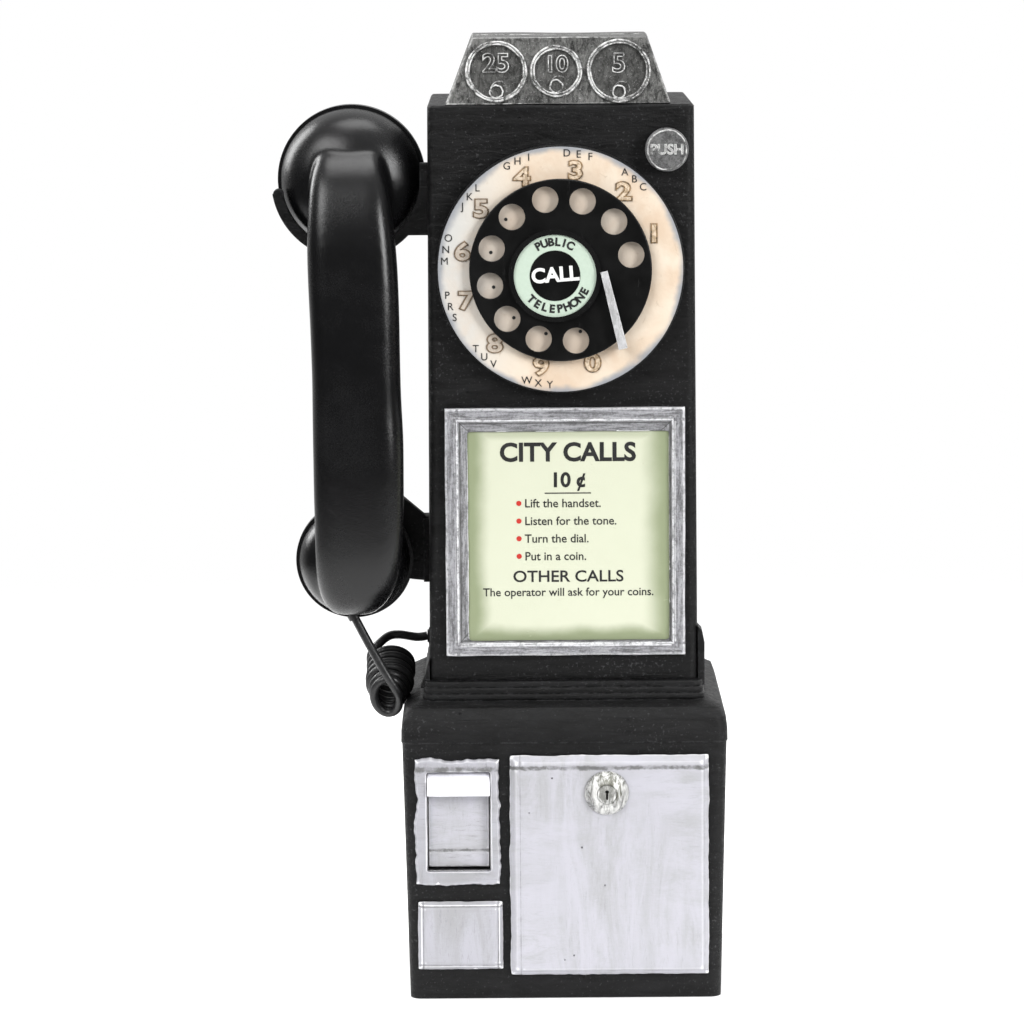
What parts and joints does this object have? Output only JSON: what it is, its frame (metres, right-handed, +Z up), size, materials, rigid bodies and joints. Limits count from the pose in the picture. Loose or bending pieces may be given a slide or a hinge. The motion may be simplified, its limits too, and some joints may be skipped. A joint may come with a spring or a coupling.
{
  "type": "payphone",
  "caption": "Rotary payphone with a slotted coin head, push button, instruction card, coin return, locked vault and a corded handset hung on a side fork.",
  "frame": {"origin": "centre of the base's underside, midway between its sides and at the depth of the y zero plane", "axes": "+Z up, +X to the right of a person facing it, -Y towards that person"},
  "size_m": [0.1946, 0.1304, 0.416],
  "materials": {
    "black_enamel": "satin black paint over a rough casting",
    "black_plate": "flat black paint",
    "aged_silver": "dark antique silver with bright rubbed edges",
    "brushed_silver": "coarsely brushed, bright edges",
    "panel_silver": "silver paint with visible brush strokes",
    "dial_cream": "cream enamel with raised characters",
    "dial_metal": "worn bright plate",
    "card_green": "printed card under a clear window",
    "phenolic": "black moulded handset, glossy with worn specks",
    "cord_rubber": "black rubber jacket",
    "steel": "plain zinc-plated steel",
    "brass": "plain brass",
    "coil_wrap": "varnished winding",
    "insulator": "dark phenolic board"
  },
  "bodies": {
    "housing": {"access_plate": "panel_silver", "back_plate": "black_plate", "back_screws": "steel", "base_plate": "black_plate", "button_collar": "brushed_silver", "button_contacts": "insulator", "button_spring": "steel", "card_frame": "brushed_silver", "coin_chutes": "steel", "coin_head": "aged_silver", "coin_hopper": "steel", "cord_coil": "cord_rubber", "cord_handset_run": "cord_rubber", "cord_housing_run": "cord_rubber", "dial_mount": "black_enamel", "dial_spring": "steel", "finger_stop": "dial_metal", "hook_bracket": "steel", "hook_contacts": "insulator", "hook_pin": "steel", "hook_spring": "steel", "housing_gland": "cord_rubber", "instruction_card": "card_green", "lower_housing": "black_enamel", "lower_rest": "black_enamel", "network_can": "steel", "number_plate": "dial_cream", "pulse_contacts": "insulator", "refund_chute": "steel", "relay_coil": "coil_wrap", "relay_frame": "steel", "rest_pad": "cord_rubber", "return_cup": "steel", "return_frame": "panel_silver", "return_hood": "panel_silver", "terminal_block": "insulator", "upper_housing": "black_enamel", "vault_tray": "steel"},
    "dial": {"finger_wheel": "black_enamel", "number_card": "card_green", "card_retainer": "black_enamel", "dial_shaft": "steel", "dial_gear": "brass"},
    "governor": {"governor": "brass"},
    "button": {"push_button": "brushed_silver"},
    "hook": {"hook_fork": "black_enamel"},
    "handset": {"handset_handle": "phenolic", "receiver_cap": "phenolic", "transmitter_cap": "phenolic", "receiver_capsule": "steel", "transmitter_capsule": "steel", "handset_gland": "cord_rubber"},
    "coin_flap": {"return_flap": "panel_silver", "flap_pin": "steel"},
    "vault_cover": {"vault_door": "panel_silver", "lock_boss": "brushed_silver"},
    "vault_lock": {"lock_plug": "brushed_silver"},
    "cash_box": {"coin_box": "steel", "coin_box_handle": "steel"},
    "vane": {"relay_vane": "brass"}
  },
  "joints": [
    {"name": "dial_turn", "type": "hinge", "parent": "housing", "child": "dial", "pos_m": [-0.0005, -0.05, 0.3172], "axis": [0, 1, 0], "range_deg": [0, 312], "stiffness_Nm_per_rad": 0.004, "springref_deg": -34.38},
    {"name": "governor_spin", "type": "hinge", "parent": "housing", "child": "governor", "pos_m": [-0.01747, -0.04, 0.33417], "axis": [0, 1, 0], "range_deg": [-940, 0]},
    {"name": "button_push", "type": "slide", "parent": "housing", "child": "button", "axis": [0, 1, 0], "range_m": [0, 0.0028], "stiffness_N_per_m": 300, "springref_m": -0.003, "deforming": ["button_spring"]},
    {"name": "handset_lift", "type": "slide", "parent": "housing", "child": "handset", "axis": [0, 0, 1], "range_m": [0, 0.1]},
    {"name": "hook_rise", "type": "hinge", "parent": "housing", "child": "hook", "pos_m": [-0.047, -0.0345, 0.344], "axis": [0, 1, 0], "range_deg": [0, 8.1], "deforming": ["hook_spring"]},
    {"name": "flap_swing", "type": "hinge", "parent": "housing", "child": "coin_flap", "pos_m": [-0.046, -0.0589, 0.0926], "axis": [1, 0, 0], "range_deg": [0, 38]},
    {"name": "vault_slide", "type": "slide", "parent": "housing", "child": "vault_cover", "axis": [0, -1, 0], "range_m": [0, 0.11]},
    {"name": "cash_box_slide", "type": "slide", "parent": "housing", "child": "cash_box", "axis": [0, -1, 0], "range_m": [0, 0.0705]},
    {"name": "lock_turn", "type": "hinge", "parent": "vault_cover", "child": "vault_lock", "pos_m": [0.0181, -0.06, 0.0916], "axis": [0, 1, 0], "range_deg": [0, 90]},
    {"name": "vane_tilt", "type": "hinge", "parent": "housing", "child": "vane", "pos_m": [0, -0.009, 0.118], "axis": [0, 1, 0], "range_deg": [-22, 22], "stiffness_Nm_per_rad": 0.002}
  ],
  "couplings": [
    {"joint": "governor_spin", "follows": "dial_turn", "ratio": -3},
    {"joint": "hook_rise", "follows": "handset_lift", "rad_per_m": 1.3963},
    {"joint": "cash_box_slide", "follows": "vault_slide", "ratio": 0.64}
  ]
}
